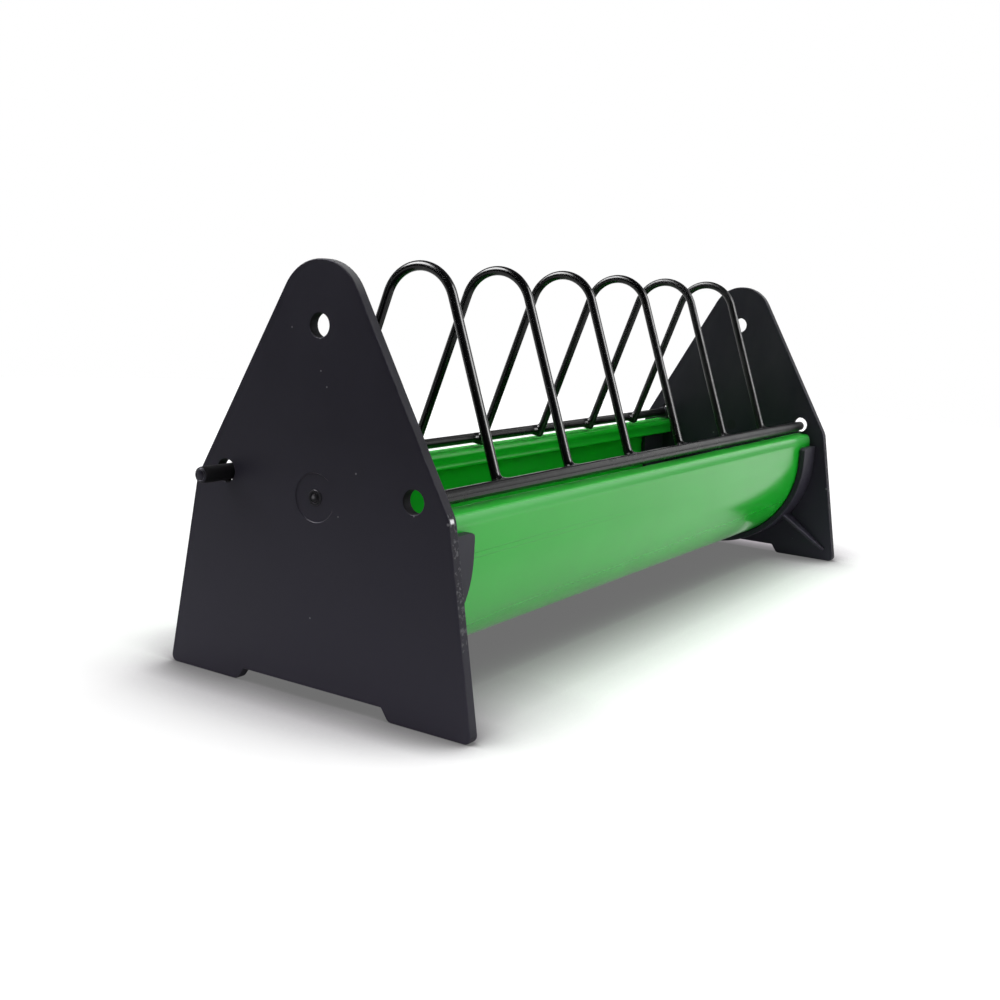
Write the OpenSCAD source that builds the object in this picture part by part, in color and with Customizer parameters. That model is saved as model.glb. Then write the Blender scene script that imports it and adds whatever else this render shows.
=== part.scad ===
// Chick feeder trough: an extruded trough with a turned-in lip, held in the sockets of two
// moulded A-shaped end plates, under a hinged rack of bent wire hoops on two long rails.
// X runs along the trough, Y from the front to the back and Z up.
// The origin is on the floor under the middle of the trough.

/* [Trough] */
// Length of the trough, from plate to plate
trough_len = 293.2; // [230:0.1:420]
// Outer radius of the round bottom, which is half the width of the trough
trough_r = 38.5; // [35:0.1:39.5]
// Thickness of the wall
trough_wall = 1.8; // [1.2:0.1:2.6]
// Height of the bottom of the trough above the floor
trough_lift = 6.6; // [4.5:0.1:12]
// Height of the rim above the floor
rim_z = 56.8; // [53:0.1:60]
// How far the lip turns in, from the outside of the wall
lip_reach = 7.8; // [6.6:0.1:9]
// How far the edge of the lip hangs below the rim
lip_drop = 6.6; // [4.6:0.1:8]
// Thickness of the hanging edge
lip_edge = 1.5; // [1:0.1:2]
// Radius at which the rim rolls over, on either side of its top
rim_round = 3.2; // [2.1:0.1:3.8]

/* [End plate] */
// Height of a plate
plate_h = 121; // [112:0.5:140]
// Thickness of a plate
plate_t = 3.4; // [2.4:0.1:5]
// Radius of the rounded top
apex_r = 14.1; // [9:0.1:18]
// Half the width at the knee, measured at the sharp corner
knee_half_w = 44.4; // [42:0.1:50]
// Height of the knee
knee_z = 57.4; // [48:0.1:66]
// Rounding of the knee
knee_r = 8; // [3:0.5:14]
// Half the width at the feet
foot_half_w = 54.5; // [48:0.1:62]
// Rounding of the corners of the feet
foot_r = 2; // [0.5:0.1:4]
// Half the width of the cut-out between the feet, at the floor
cut_half_w = 27.5; // [18:0.1:36]
// Height of the cut-out
cut_h = 3.6; // [2:0.1:4]
// How much the sides of the cut-out lean in
cut_lean = 2.5; // [0:0.1:5]
// Radius of the round holes
hole_r = 3.25; // [2.75:0.05:4]
// Distance from the top of the plate down to the middle of the hanging hole
hang_drop = 17.4; // [13:0.1:24]
// Radius of the round gate mark in the outer face
gate_r = 6.8; // [5:0.1:8]
// Height of the middle of the gate mark
gate_z = 57.2; // [50:0.1:65]
// Depth of the gate mark
gate_depth = 0.3; // [0.1:0.05:0.6]
// Radius of the stub left by the gate
stub_r = 2.2; // [1:0.1:3]
// Height of that stub above the floor of the mark
stub_h = 0.6; // [0.3:0.05:1]

/* [Socket] */
// Length of the outer flange that the trough sits in
flange_len = 14; // [8:0.1:24]
// Thickness of the outer flange
flange_wall = 2.5; // [1.5:0.1:3.5]
// How far the flange stays below the rim
flange_drop = 5.2; // [3:0.1:8]
// Length of the collar inside the trough
collar_len = 19.5; // [12:0.1:34]
// Thickness of the collar
collar_wall = 2; // [1.2:0.1:3]
// Gap between the collar and the lip above it
collar_gap = 0.7; // [0.3:0.1:2]
// Gap between the trough wall and the socket, on either side
socket_gap = 0.3; // [0.1:0.05:0.6]
// Thickness of the gussets between the flange and the feet
gusset_t = 1.5; // [1:0.1:2.5]
// How far a gusset stands out of the plate at the flange
gusset_high = 9; // [5:0.1:14]
// How far it stands out at the foot
gusset_low = 1.5; // [0.5:0.1:3]
// Distance of the end of a gusset from the side of the foot and from the floor
gusset_inset = 4.8; // [3:0.1:9]

/* [Rack] */
// Number of hoops
hoop_count = 6; // [2:1:7]
// Distance from hoop to hoop
hoop_pitch = 42.2; // [26:0.1:44]
// Radius of the hoop wire with its coating
hoop_r = 1.5; // [1.1:0.05:2]
// Radius of the back rail with its coating
rail_r = 1.8; // [1.4:0.05:2.2]
// Radius of the front rail, which carries more coating
front_rail_r = 2.1; // [1.5:0.05:2.3]
// Radius of the far end of the front rail, which latches in the far plate
tip_r = 1.1; // [0.8:0.05:1.4]
// Length over which the front rail thins down to that end
tip_len = 32; // [8:1:40]
// Height of the top of the hoops above the middle of the rails
hoop_h = 62.2; // [50:0.1:75]
// Radius of the arch, at the middle of the wire
arch_r = 12.4; // [9:0.1:16]
// How deep a leg is sunk into the coating of its rail
weld_sink = 0.7; // [0.3:0.05:1]
// How far a leg runs past the rail
leg_tail = 0.3; // [0:0.1:0.6]
// Distance of the back rail in from the outside of the trough wall
rail_inset = 5.5; // [4.5:0.1:7]
// Height of the side holes above the rim
hole_above_rim = 3.8; // [3.8:0.1:10]
// How far the rails hang below the middle of the side holes
rail_drop = 0.4; // [0.2:0.05:0.6]
// Gap between the near plate and the front rail
front_near_gap = 5.6; // [3:0.1:10]
// Gap between the far plate and the front rail, when the rack is free to swing
front_far_gap = 0.3; // [0.2:0.05:1]

/* [Pivot sleeves] */
// Thickness of the wall of a sleeve
sleeve_wall = 0.5; // [0.4:0.05:0.6]
// How far a sleeve stands out of its plate
sleeve_out = 10; // [6:0.1:14]
// How far a sleeve reaches past the inside of its plate
sleeve_in = 6.4; // [2:0.1:10]
// Thickness of the closed end of a sleeve
sleeve_cap = 2; // [1:0.1:3]
// Width of the bevel on the closed end
sleeve_bevel = 0.7; // [0.3:0.05:1]
// Running gap between the back rail and a sleeve
pivot_gap = 0.05; // [0.02:0.01:0.1]

/* [Hidden] */
hoop_names = [for (i = [1:hoop_count]) str("hoop_", i)];
$fn = 72;

green = [0.10, 0.45, 0.14];
black = [0.13, 0.13, 0.14];
wire_black = [0.09, 0.09, 0.10];

// Cuts run this much past the face that they leave through
past = 1;
// Gap left between a rail and the coped leg of a hoop
cope_gap = 0.02;
// Play between the end of the back rail and the closed end of a sleeve
end_play = 0.3;
// Bevel on the cut ends of the rails
rail_bevel = 0.4;

half_len = trough_len / 2;
bottom_mid_z = trough_lift + trough_r;
inner_r = trough_r - trough_wall;
flange_in_r = trough_r + socket_gap;
flange_r = flange_in_r + flange_wall;
flange_top_z = rim_z - flange_drop;
collar_r = inner_r - socket_gap;
collar_top_z = rim_z - lip_drop - collar_gap;

rail_y = trough_r - rail_inset;
front_rail_y = rail_y + front_rail_r - rail_r;
side_hole_z = rim_z + hole_above_rim;
rail_z = side_hole_z - rail_drop;
sleeve_bore_r = rail_r + pivot_gap;
sleeve_r = sleeve_bore_r + sleeve_wall;

// A leg is tangent to the arch and to a circle round its rail, which it passes on the inside.
// The front rail is thicker and lies further out, so that both legs lean alike.
arch_z = rail_z + hoop_h - hoop_r - arch_r;
leg_off = rail_r + hoop_r - weld_sink;
rise = arch_z - rail_z;
reach = norm([rail_y, rise]);
lean = atan2(rail_y, rise) - asin((arch_r + leg_off) / reach);
leg_len = sqrt(pow(reach, 2) - pow(arch_r + leg_off, 2)) + leg_tail;

function unit(v) = v / norm(v);

// Middle of the circle of radius r that rounds the corner b of the path a, b, c
function corner_mid(a, b, c, r) =
    let (u = unit(a - b), v = unit(c - b), turn = acos(u * v))
    b + unit(u + v) * r / sin(turn / 2);

// Point where that circle meets the line from b to a
function corner_touch(a, b, c, r) =
    let (u = unit(a - b), v = unit(c - b), turn = acos(u * v))
    b + u * r / tan(turn / 2);

// Outline of half a plate, as sharp corners
apex_mid = [0, plate_h - apex_r];
knee = [knee_half_w, knee_z];
foot = [foot_half_w, 0];
to_knee = knee - apex_mid;
apex_touch_angle = atan2(to_knee.y, to_knee.x) + acos(apex_r / norm(to_knee));
apex_touch = apex_mid + apex_r * [cos(apex_touch_angle), sin(apex_touch_angle)];
cut_low = [cut_half_w, 0];
cut_high = [cut_half_w - cut_lean, cut_h];

// Lays a flat shape, with its own Y upwards, across the trough and gives it a length along X
module along_x(length) {
    rotate([90, 0, 90])
        linear_extrude(length)
            children();
}

module both_sides() {
    children();
    mirror([0, 1, 0]) children();
}

// A round bottom with straight sides up to a height, as a solid shape
module channel(radius, top_z) {
    translate([0, bottom_mid_z]) circle(radius);
    translate([-radius, bottom_mid_z]) square([2 * radius, top_z - bottom_mid_z]);
}

// A channel with an inside, open at the top
module gutter(outer, inner, top_z) {
    difference() {
        intersection() {
            channel(outer, top_z);
            translate([-outer, 0]) square([2 * outer, top_z]);
        }
        channel(inner, top_z + past);
    }
}

// A flat shape with its two upper corners rounded
module rounded_top(x_from, x_to, z_from, z_to, radius) {
    translate([x_from, z_from]) square([x_to - x_from, z_to - radius - z_from]);
    translate([x_from + radius, z_from]) square([x_to - x_from - 2 * radius, z_to - z_from]);
    for (x = [x_from + radius, x_to - radius])
        translate([x, z_to - radius]) circle(radius);
}

// One side of the rim: the wall rolls in and hangs down again
module lip_profile() {
    inside = trough_r - lip_reach;
    difference() {
        rounded_top(inside, trough_r, rim_z - lip_drop, rim_z, rim_round);
        rounded_top(inside + lip_edge, inner_r, rim_z - lip_drop - past, rim_z - trough_wall,
                    rim_round - trough_wall);
    }
}

module trough() {
    color(green)
        translate([-half_len, 0, 0])
            along_x(trough_len) {
                gutter(trough_r, inner_r, rim_z - rim_round);
                lip_profile();
                mirror([1, 0]) lip_profile();
            }
}

// Half the outline of a plate: straight sides between rounded corners
module half_outline() {
    polygon([
        [0, 0],
        corner_touch([0, 0], foot, knee, foot_r),
        corner_touch(knee, foot, [0, 0], foot_r),
        corner_touch(foot, knee, apex_touch, knee_r),
        corner_touch(apex_touch, knee, foot, knee_r),
        apex_touch,
        apex_mid
    ]);
    translate(corner_mid(knee, foot, [0, 0], foot_r)) circle(foot_r);
    translate(corner_mid(foot, knee, apex_touch, knee_r)) circle(knee_r);
}

// Half the cut-out between the feet, which leaves the inner corner of each foot rounded
module half_cut_out() {
    floor_out = cut_low + [foot_r + past, 0];
    mid = corner_mid(cut_high, cut_low, floor_out, foot_r);
    polygon([[-past, -past], cut_low - [0, past], cut_low, cut_high, [-past, cut_h]]);
    difference() {
        polygon([
            corner_touch(cut_high, cut_low, floor_out, foot_r) - [past, 0],
            corner_touch(cut_high, cut_low, floor_out, foot_r),
            mid,
            corner_touch(floor_out, cut_low, cut_high, foot_r),
            corner_touch(floor_out, cut_low, cut_high, foot_r) - [0, past],
            cut_low - [past, past]
        ]);
        translate(mid) circle(foot_r);
    }
}

module plate_outline() {
    difference() {
        union() {
            half_outline();
            mirror([1, 0]) half_outline();
            translate(apex_mid) circle(apex_r);
        }
        half_cut_out();
        mirror([1, 0]) half_cut_out();
    }
}

// A gusset lies along a ray from the middle of the socket to a foot and tapers towards the foot
module gusset() {
    out = foot - [gusset_inset, -gusset_inset] - [0, bottom_mid_z];
    from = flange_in_r + flange_wall / 2;
    translate([0, 0, bottom_mid_z])
        rotate([atan2(out.y, out.x), 0, 0])
            translate([0, 0, -gusset_t / 2])
                linear_extrude(gusset_t)
                    polygon([[-past, from], [gusset_high, from],
                             [gusset_low, norm(out)], [-past, norm(out)]]);
}

// The near plate, with its outer face towards -X
module end_plate() {
    inner_x = -half_len;
    outer_x = inner_x - plate_t;
    difference() {
        union() {
            translate([outer_x, 0, 0]) along_x(plate_t) plate_outline();
            translate([inner_x, 0, 0]) {
                along_x(flange_len) gutter(flange_r, flange_in_r, flange_top_z);
                along_x(collar_len) gutter(collar_r, collar_r - collar_wall, collar_top_z);
                both_sides() gusset();
            }
        }
        translate([outer_x - past, 0, 0])
            rotate([0, 90, 0]) {
                translate([hang_drop - plate_h, 0, 0]) cylinder(h = plate_t + 2 * past, r = hole_r);
                for (side = [-1, 1])
                    translate([-side_hole_z, side * rail_y, 0])
                        cylinder(h = plate_t + 2 * past, r = hole_r);
                translate([-gate_z, 0, 0]) cylinder(h = past + gate_depth, r = gate_r);
            }
    }
    translate([outer_x + gate_depth - stub_h, 0, gate_z])
        rotate([0, 90, 0]) cylinder(h = stub_h + past, r = stub_r);
}

module near_end_plate() {
    color(black) end_plate();
}

// The same moulding, turned about
module far_end_plate() {
    color(black) rotate([0, 0, 180]) end_plate();
}

// The front rail ends in a thin tip at the far plate
module front_rail() {
    length = trough_len - front_near_gap - front_far_gap;
    color(wire_black)
        translate([-half_len + front_near_gap, -front_rail_y, rail_z])
            rotate([90, 0, 90])
                rotate_extrude()
                    polygon([[0, 0], [front_rail_r - rail_bevel, 0], [front_rail_r, rail_bevel],
                             [front_rail_r, length - tip_len], [tip_r, length - rail_bevel],
                             [tip_r - rail_bevel, length], [0, length]]);
}

module back_rail() {
    length = trough_len + 2 * (plate_t + sleeve_out - sleeve_cap - end_play);
    color(wire_black)
        translate([-length / 2, rail_y, rail_z])
            rotate([90, 0, 90])
                rotate_extrude()
                    polygon([[0, 0], [rail_r - rail_bevel, 0], [rail_r, rail_bevel],
                             [rail_r, length - rail_bevel], [rail_r - rail_bevel, length],
                             [0, length]]);
}

// The near sleeve: a blind tube on the end of the back rail, through the hole in the plate
module pivot_sleeve() {
    length = sleeve_out + plate_t + sleeve_in;
    translate([-half_len - plate_t - sleeve_out, rail_y, rail_z])
        rotate([90, 0, 90])
            rotate_extrude()
                polygon([[0, 0], [sleeve_r - sleeve_bevel, 0], [sleeve_r, sleeve_bevel],
                         [sleeve_r, length], [sleeve_bore_r, length],
                         [sleeve_bore_r, sleeve_cap], [0, sleeve_cap]]);
}

module near_pivot_sleeve() {
    color(black) pivot_sleeve();
}

module far_pivot_sleeve() {
    color(black) mirror([1, 0, 0]) pivot_sleeve();
}

// A hoop, coped where its legs are welded to the rails
module hoop(i) {
    x = (i - (hoop_count + 1) / 2) * hoop_pitch;
    color(wire_black)
        translate([x, 0, 0])
            difference() {
                translate([0, 0, arch_z]) rotate([90, 0, 90]) bent_wire();
                translate([-2 * hoop_r, rail_y, rail_z])
                    rotate([0, 90, 0])
                        cylinder(h = 4 * hoop_r, r = rail_r + cope_gap);
                translate([-2 * hoop_r, -front_rail_y, rail_z])
                    rotate([0, 90, 0])
                        cylinder(h = 4 * hoop_r, r = front_rail_r + cope_gap);
            }
}

// The wire of a hoop, upright in its own plane about the middle of the arch
module bent_wire() {
    rotate([0, 0, lean])
        rotate_extrude(angle = 180 - 2 * lean)
            translate([arch_r, 0]) circle(hoop_r);
    for (side = [0, 1])
        mirror([side, 0, 0])
            rotate([0, 0, lean])
                translate([arch_r, 0, 0])
                    rotate([90, 0, 0]) leg();
}

// One leg, from the arch down past the rail, with a rounded end
module leg() {
    cylinder(h = leg_len, r = hoop_r);
    translate([0, 0, leg_len]) sphere(hoop_r);
}

trough();
near_end_plate();
far_end_plate();
front_rail();
back_rail();
near_pivot_sleeve();
far_pivot_sleeve();
for (i = [1:hoop_count])
    hoop(i);
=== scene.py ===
import math

import bmesh
import bpy
import numpy as np
from mathutils import Matrix, Vector


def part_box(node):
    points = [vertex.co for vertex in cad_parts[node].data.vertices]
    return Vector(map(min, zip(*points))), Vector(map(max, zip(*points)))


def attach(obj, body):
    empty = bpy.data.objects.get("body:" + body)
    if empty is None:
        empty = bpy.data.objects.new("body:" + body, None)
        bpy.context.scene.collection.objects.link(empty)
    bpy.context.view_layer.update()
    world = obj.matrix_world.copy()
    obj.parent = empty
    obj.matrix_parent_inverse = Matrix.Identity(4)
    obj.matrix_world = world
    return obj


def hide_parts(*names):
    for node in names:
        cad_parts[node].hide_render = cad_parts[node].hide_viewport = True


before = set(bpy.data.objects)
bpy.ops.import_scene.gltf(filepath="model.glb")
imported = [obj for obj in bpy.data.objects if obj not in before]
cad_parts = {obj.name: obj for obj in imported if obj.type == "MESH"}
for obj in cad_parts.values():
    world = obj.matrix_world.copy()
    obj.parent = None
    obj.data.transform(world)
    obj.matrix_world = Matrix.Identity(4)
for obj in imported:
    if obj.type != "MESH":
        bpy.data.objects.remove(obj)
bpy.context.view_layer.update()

mm = 0.001
scene = bpy.context.scene

# where the frame puts the pieces that carry the others
troughLow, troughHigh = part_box("trough")
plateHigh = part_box("near_end_plate")[1]
frontRailLow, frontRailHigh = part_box("front_rail")
backRailLow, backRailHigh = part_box("back_rail")
firstHoopLow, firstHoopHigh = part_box("hoop_1")
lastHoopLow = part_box("hoop_6")[0]

halfLen = troughHigh.x
rimZ = troughHigh.z
troughR = troughHigh.y
midZ = troughLow.z + troughR
railY = (backRailLow.y + backRailHigh.y) / 2
railZ = (backRailLow.z + backRailHigh.z) / 2
railR = (backRailHigh.z - backRailLow.z) / 2
frontY = (frontRailLow.y + frontRailHigh.y) / 2
frontR = (frontRailHigh.z - frontRailLow.z) / 2
wireR = (firstHoopHigh.x - firstHoopLow.x) / 2


# meshes

def arcPoints(cx, cy, radius, fromDeg, toDeg, steps):
    angles = [math.radians(fromDeg + (toDeg - fromDeg) * i / steps) for i in range(steps + 1)]
    return [(cx + radius * math.cos(a), cy + radius * math.sin(a)) for a in angles]


def roundedPath(corners, stepDeg=6):
    # each corner is (x, y, radius); gives the outline with its corners rounded
    points = []
    for i, (x, y, radius) in enumerate(corners):
        here = Vector((x, y))
        u = (Vector(corners[i - 1][:2]) - here).normalized()
        v = (Vector(corners[(i + 1) % len(corners)][:2]) - here).normalized()
        half = u.angle(v) / 2
        middle = here + (u + v).normalized() * radius / math.sin(half)
        start = here + u * radius / math.tan(half) - middle
        end = here + v * radius / math.tan(half) - middle
        turn = start.angle_signed(end)
        steps = max(2, round(abs(math.degrees(turn)) / stepDeg))
        for k in range(steps + 1):
            spot = start.copy()
            spot.rotate(Matrix.Rotation(-turn * k / steps, 2))
            points.append((middle.x + spot.x, middle.y + spot.y))
    return points


def addObject(name, mesh, material):
    piece = bpy.data.objects.new(name, mesh)
    scene.collection.objects.link(piece)
    piece.data.materials.clear()
    piece.data.materials.append(material)
    return piece


def tidyMesh(bm, merge=1e-6):
    # merges doubles and turns a closed shell's faces outwards
    bmesh.ops.remove_doubles(bm, verts=bm.verts, dist=merge)
    bmesh.ops.dissolve_degenerate(bm, edges=bm.edges, dist=merge)
    bmesh.ops.recalc_face_normals(bm, faces=bm.faces)


def loft(rings, closed=False):
    # a skin over rings of equally many points, with flat ends unless it closes on itself
    bm = bmesh.new()
    rows = [[bm.verts.new(p) for p in ring] for ring in rings]
    last = len(rows) if closed else len(rows) - 1
    for i in range(last):
        a, b = rows[i], rows[(i + 1) % len(rows)]
        for k in range(len(a)):
            n = (k + 1) % len(a)
            bm.faces.new((a[k], a[n], b[n], b[k]))
    if not closed:
        bm.faces.new(rows[0][::-1])
        bm.faces.new(rows[-1])
    tidyMesh(bm)
    mesh = bpy.data.meshes.new("loft")
    bm.to_mesh(mesh)
    bm.free()
    return mesh


def joinMeshes(meshes):
    bm = bmesh.new()
    for mesh in meshes:
        bm.from_mesh(mesh)
        bpy.data.meshes.remove(mesh)
    mesh = bpy.data.meshes.new("joined")
    bm.to_mesh(mesh)
    bm.free()
    return mesh


def smoothMesh(mesh, sharpDeg=40):
    mesh.shade_smooth()
    mesh.set_sharp_from_angle(angle=math.radians(sharpDeg))


def finalMesh(piece):
    # the piece with its modifiers in its mesh
    shown = piece.evaluated_get(bpy.context.evaluated_depsgraph_get())
    mesh = bpy.data.meshes.new_from_object(shown)
    piece.modifiers.clear()
    old = piece.data
    piece.data = mesh
    if old.users == 0 and isinstance(old, bpy.types.Mesh):
        bpy.data.meshes.remove(old)
    return piece


def hand(piece, body, slot, *nodes):
    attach(piece, body)
    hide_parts(*nodes)


# node trees

class Nodes:
    # a short way to write one; sockets are given in their order, or by name with _ for a space

    def __init__(self, tree):
        self.tree = tree

    def feed(self, socket, value):
        if isinstance(value, bpy.types.NodeSocket):
            self.tree.links.new(value, socket)
        elif value is not None:
            socket.default_value = value

    def add(self, kind, *values, **settings):
        node = self.tree.nodes.new(kind)
        for key, value in settings.items():
            setattr(node, key, value)
        for socket, value in zip(node.inputs, values):
            self.feed(socket, value)
        return node

    def named(self, kind, **values):
        node = self.tree.nodes.new(kind)
        for key, value in values.items():
            self.feed(node.inputs[key.replace("_", " ")], value)
        return node

    def math(self, operation, a, b=0.0, clamp=False):
        return self.add("ShaderNodeMath", a, b, operation=operation, use_clamp=clamp).outputs[0]


class Shader(Nodes):

    def __init__(self, name):
        self.material = bpy.data.materials.new(name)
        self.material.use_nodes = True
        super().__init__(self.material.node_tree)
        self.main = self.tree.nodes["Principled BSDF"]
        self.place = self.add("ShaderNodeTexCoord").outputs["Object"]

    def stretched(self, scale):
        return self.named("ShaderNodeMapping", Vector=self.place, Scale=scale).outputs["Vector"]

    def pattern(self, stretch, scale, detail, rough):
        place = self.stretched(stretch)
        node = self.named("ShaderNodeTexNoise", Vector=place, Scale=scale, Detail=detail, Roughness=rough)
        return node.outputs["Fac"]

    def spots(self, scale):
        node = self.named("ShaderNodeTexVoronoi", Vector=self.place, Scale=scale)
        return node.outputs["Distance"], node.outputs["Color"]

    def distance(self, vector, point):
        return self.add("ShaderNodeVectorMath", vector, point, operation="DISTANCE").outputs["Value"]

    def ramp(self, value, low, high, toLow=0.0, toHigh=1.0):
        return self.add("ShaderNodeMapRange", value, low, high, toLow, toHigh).outputs["Result"]

    def between(self, value, low, high):
        above = self.math("GREATER_THAN", value, low)
        return self.math("MULTIPLY", above, self.math("LESS_THAN", value, high))

    def mix(self, factor, a, b):
        # the colours' sockets come after the ones for numbers and vectors
        node = self.add("ShaderNodeMix", factor, data_type="RGBA")
        self.feed(node.inputs[6], a)
        self.feed(node.inputs[7], b)
        return node.outputs[2]

    def axis(self, vector, name):
        return self.add("ShaderNodeSeparateXYZ", vector).outputs[name]

    def bump(self, height, distance, under=None):
        return self.named("ShaderNodeBump", Height=height, Distance=distance, Normal=under).outputs["Normal"]

    def finish(self, **values):
        for key, value in values.items():
            self.feed(self.main.inputs[key.replace("_", " ")], value)
        return self.material


# materials
# a pattern is its stretch along X, Y and Z, its scale per metre, its detail and its roughness

greenFinish = {
    "deep": (0.006, 0.355, 0.016, 1),
    "light": (0.010, 0.412, 0.024, 1),
    "cloud": ((1, 1, 1), 14, 3, 0.5),
    "cloudFrom": (0.3, 0.7),
    "roughness": 0.14,
    "specular": 0.56,
    "scuffs": ((0.5, 1.6, 1.6), 55, 6, 0.7),
    "scuffsFrom": (0.45, 0.8),
    "scuffsDull": 0.10,
    "lines": ((0.02, 1, 1), 900, 4, 0.6),   # fine lines left by the die
    "linesFrom": (0.35, 0.75),
    "linesShow": 0.05,
    "linesColor": (0.03, 0.33, 0.05, 1),
    "linesDullFrom": (0.3, 0.8),
    "linesDull": 0.05,
    "linesDeep": 0.08,                      # as a share of the waves
    "waves": ((0.12, 1, 1), 26, 2, 0.5),
    "wavesDeep": 0.06 * mm,
    "twinLines": (44.9 * mm, 43.4 * mm),    # heights of two lines drawn by nicks in the die
    "twinWidth": 0.25 * mm,
    "twinDeep": 0.06 * mm,
    "twinFrom": (-145 * mm, 0.0),           # where they fade, along X
    "twinColor": (0.006, 0.12, 0.012, 1),
    "twinShow": 0.35,
    "crest": (rimZ - 0.9 * mm, rimZ - 0.1 * mm),    # the rim's top is dull
    "crestDull": 0.4,
    "bend": (52.5 * mm, 55.5 * mm, 56.4 * mm),      # heights of a painted highlight along the front's outside, under the rim
    "rimHighlightFrom": (-37.2 * mm, -37.8 * mm),
    "rimHighlightLeft": 0.3,
    "rimHighlightColor": (0.16, 0.50, 0.19, 1),
    "rimHighlightShow": 0.45,
}

plateFinish = {
    "deep": (0.0050, 0.0044, 0.0085, 1),
    "light": (0.0080, 0.0072, 0.0118, 1),
    "cloud": ((1, 1, 1), 18, 3, 0.5),
    "cloudFrom": (0.3, 0.7),
    "roughness": 0.42,
    "specular": 0.22,
    "tint": (0.90, 0.88, 1.0, 1),
    "grain": ((1, 1, 1), 2600, 2, 0.6),
    "grainDull": 0.04,
    "flow": ((1, 1, 0.35), 60, 5, 0.6),     # streaks of the plastic as it filled the mould
    "flowFrom": (0.3, 0.75),
    "flowDull": (-0.04, 0.08),
    "flowDeep": 3.0,                        # as a share of the grain
    "skinDeep": 0.012 * mm,
    "edge": (0.045, 0.045, 0.048, 1),       # the rounded edges: worn by handling, with a painted highlight along them
    "edgeFrom": (0.2, 0.6),                 # slopes of the surface where it comes and goes
    "edgeTo": (0.85, 0.97),
    "edgeShow": 0.55,
    "wearAndSheen": ((1, 1, 1), 240, 4, 0.65),
    "wearAndSheenFrom": (0.42, 0.66),
    "foot": (0.030, 0.028, 0.040, 1),       # painted light from the floor, paler towards it
    "footFrom": (75 * mm, 10 * mm),
    "footShow": 0.85,
    "dustAndPaintedLight": (0.045, 0.045, 0.050, 1),       # dust with painted light on the faces towards the trough
    # painted shade leaves it out low down, under the trough
    "dustAndLightFrom": (35 * mm, 72 * mm),
    "dustAndLightInside": (146.8 * mm, 146.4 * mm),
    "dustAndLightPatches": (0.25, 0.7, 0.3, 0.9),
    "rim": (0.009, 0.009, 0.010, 1),        # the narrow faces all round
    "rimFrom": (146.4 * mm, 150.1 * mm),
    "rimSlope": (0.5, 0.2),
    "rimPatches": (0.3, 0.7, 0.5, 1.0),
    "rimSpecks": (24 * mm, 59 * mm),        # heights of their rough stretch
    "specks": ((1, 1, 1), 900, 2, 0.6),
    "specksFrom": (0.54, 0.64),
    "specksShow": 0.8,
    "crownHighlight": (0.14, 0.14, 0.145, 1),        # painted highlight on the rounded top of the narrow faces, lit from above
    "crownHighlightFrom": (112 * mm, 120 * mm),
    "sawn": 0.35,                           # how much duller narrow faces and holes are
    "holes": [(0, 103.6 * mm), (33 * mm, 60.6 * mm), (-33 * mm, 60.6 * mm)],
    "holeWall": 3.6 * mm,
    "holeSlope": (0.9, 0.6),
    "hollow": (0.001, 0.001, 0.001, 1),     # painted shade on the hole walls, and the gate's stub darker
    "gateZ": 57.2 * mm,
    "gateFrom": (2.08 * mm, 2.6 * mm),
    "gateShow": 0.9,
    "fleck": (0.16, 0.16, 0.17, 1),         # dust and small nicks, with painted glints where they catch the light
    "fleckShow": 0.75,
    "fleckDeep": 0.04 * mm,
    "flecks": 95.0,                         # per metre, of which this share is left out
    "fleckless": 0.80,
    "fleckFrom": (0.02, 0.055),
    # nicks in the near plate's outer face, and painted glints on the gate's stub and at the knee: y, z and
    # radius in millimetres
    "nicksAndGlints": [(9.5, 102.5, 0.35), (-1.0, 91.6, 0.3), (-3.2, 87.5, 0.3), (-14.0, 65.6, 0.35),
              (-8.4, 53.2, 0.3), (0.4, 23.5, 0.35), (0.2, 57.4, 0.6), (-44.1, 56.4, 0.5),
              (-33.4, 57.0, 0.3)],
    "nickX": -149.2 * mm,
    "nickCore": 0.4 * mm,                   # how wide a nick's core is, per millimetre of its radius
    "glint": (-44.2 * mm, 57.0 * mm),       # a painted glint on its narrow face, at the knee
    "glintSize": (0.35 * mm, 0.8 * mm),
    "glintFrom": (-149.4 * mm, -147.8 * mm),
    "glintColor": (0.75, 0.75, 0.77, 1),
}

wireFinish = {
    "deep": (0.0016, 0.0016, 0.0019, 1),
    "light": (0.0042, 0.0040, 0.0048, 1),
    "cloud": ((1, 1, 1), 60, 3, 0.5),
    "cloudFrom": (0.35, 0.7),
    "roughness": 0.18,
    "cloudDullFrom": (0.3, 0.7),
    "cloudDull": (-0.04, 0.06),
    "specular": 0.37,
    "rub": ((0.4, 1, 1), 300, 5, 0.7),
    "rubFrom": (0.5, 0.8),
    "rubDull": 0.14,
    "farFrom": (-50 * mm, 120 * mm),        # along X; the coat is duller towards the far end
    "farDull": 0.2,
    "peel": ((1, 1, 1), 240, 2, 0.5),
    "peelDeep": 0.05 * mm,
}


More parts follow.
